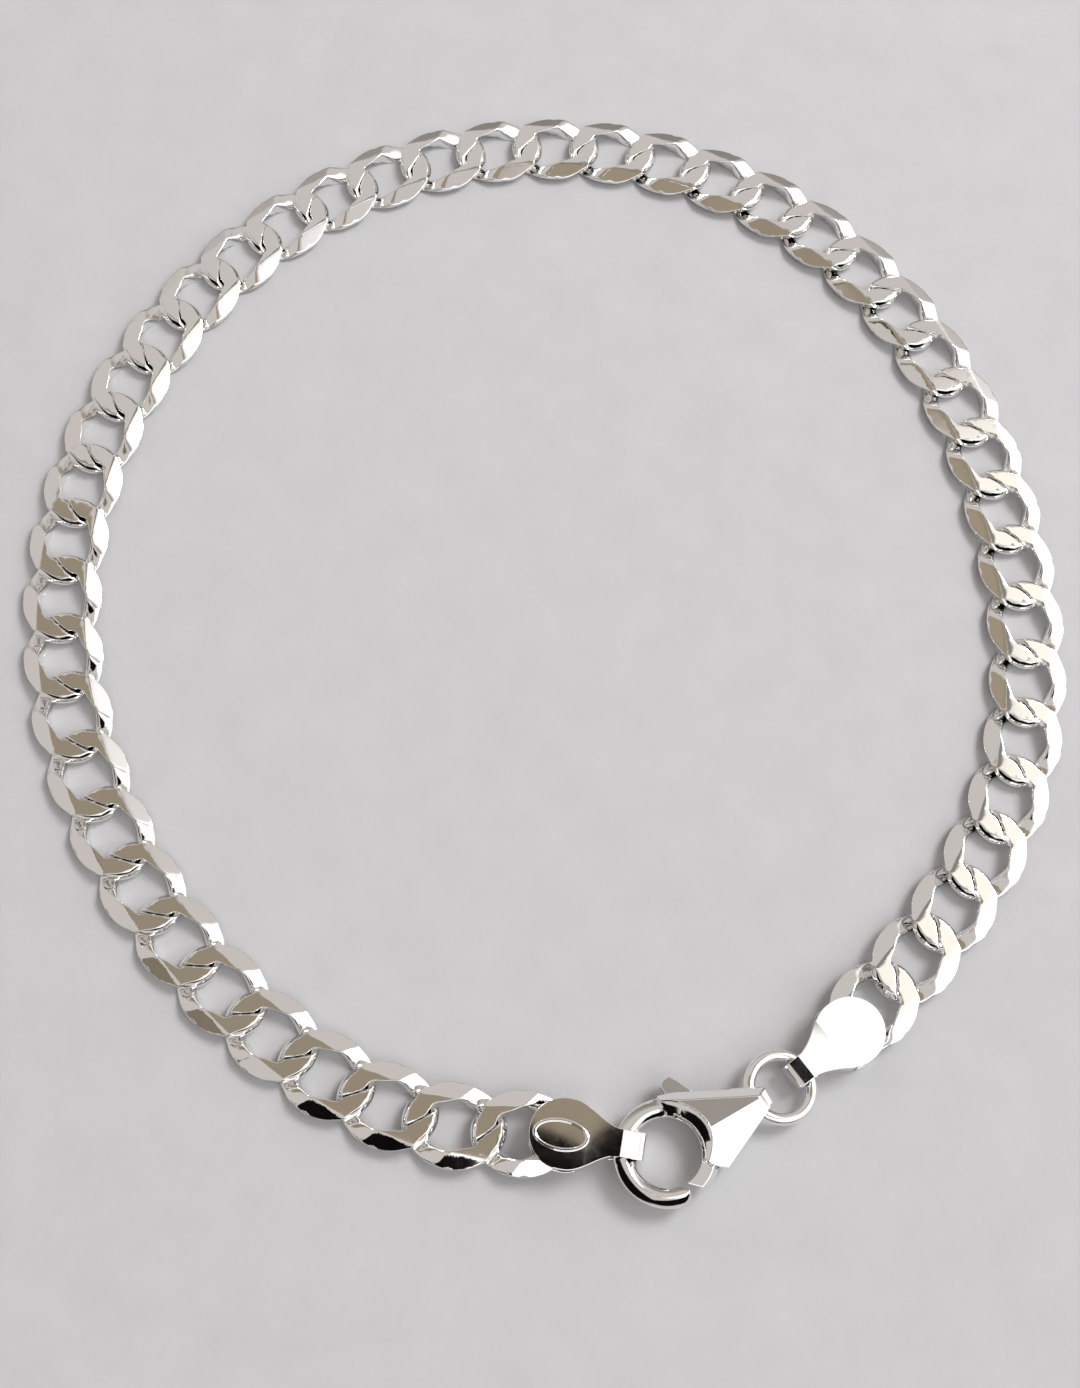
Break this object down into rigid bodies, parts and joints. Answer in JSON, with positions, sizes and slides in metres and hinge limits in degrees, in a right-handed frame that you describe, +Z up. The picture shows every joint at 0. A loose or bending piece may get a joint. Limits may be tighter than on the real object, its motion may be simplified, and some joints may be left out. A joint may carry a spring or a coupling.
{
  "type": "link bracelet",
  "caption": "Closed flat curb-link bracelet of polished silver with end tabs, a jump ring and a trigger clasp whose lever opens inwards.",
  "frame": {"origin": "middle of the bounding box at the table", "axes": "+Z up from the table, +X to the right and +Y away from the viewer, with the clasp at the near side"},
  "size_m": [0.0648, 0.0716, 0.0024],
  "materials": {
    "polished_silver": "polished"
  },
  "bodies": {
    "bracelet": {"chain_a": "polished_silver", "chain_b": "polished_silver", "tab_left": "polished_silver", "tab_right": "polished_silver", "jump_ring": "polished_silver", "clasp_body": "polished_silver", "lever_pin": "polished_silver"},
    "lever": {"clasp_lever": "polished_silver"}
  },
  "joints": [
    {"name": "lever_hinge", "type": "hinge", "parent": "bracelet", "child": "lever", "pos_m": [0.01259, -0.03173, 0.00122], "axis": [0, 0, -1], "range_deg": [0, 25], "stiffness_Nm_per_rad": 0.0004}
  ]
}
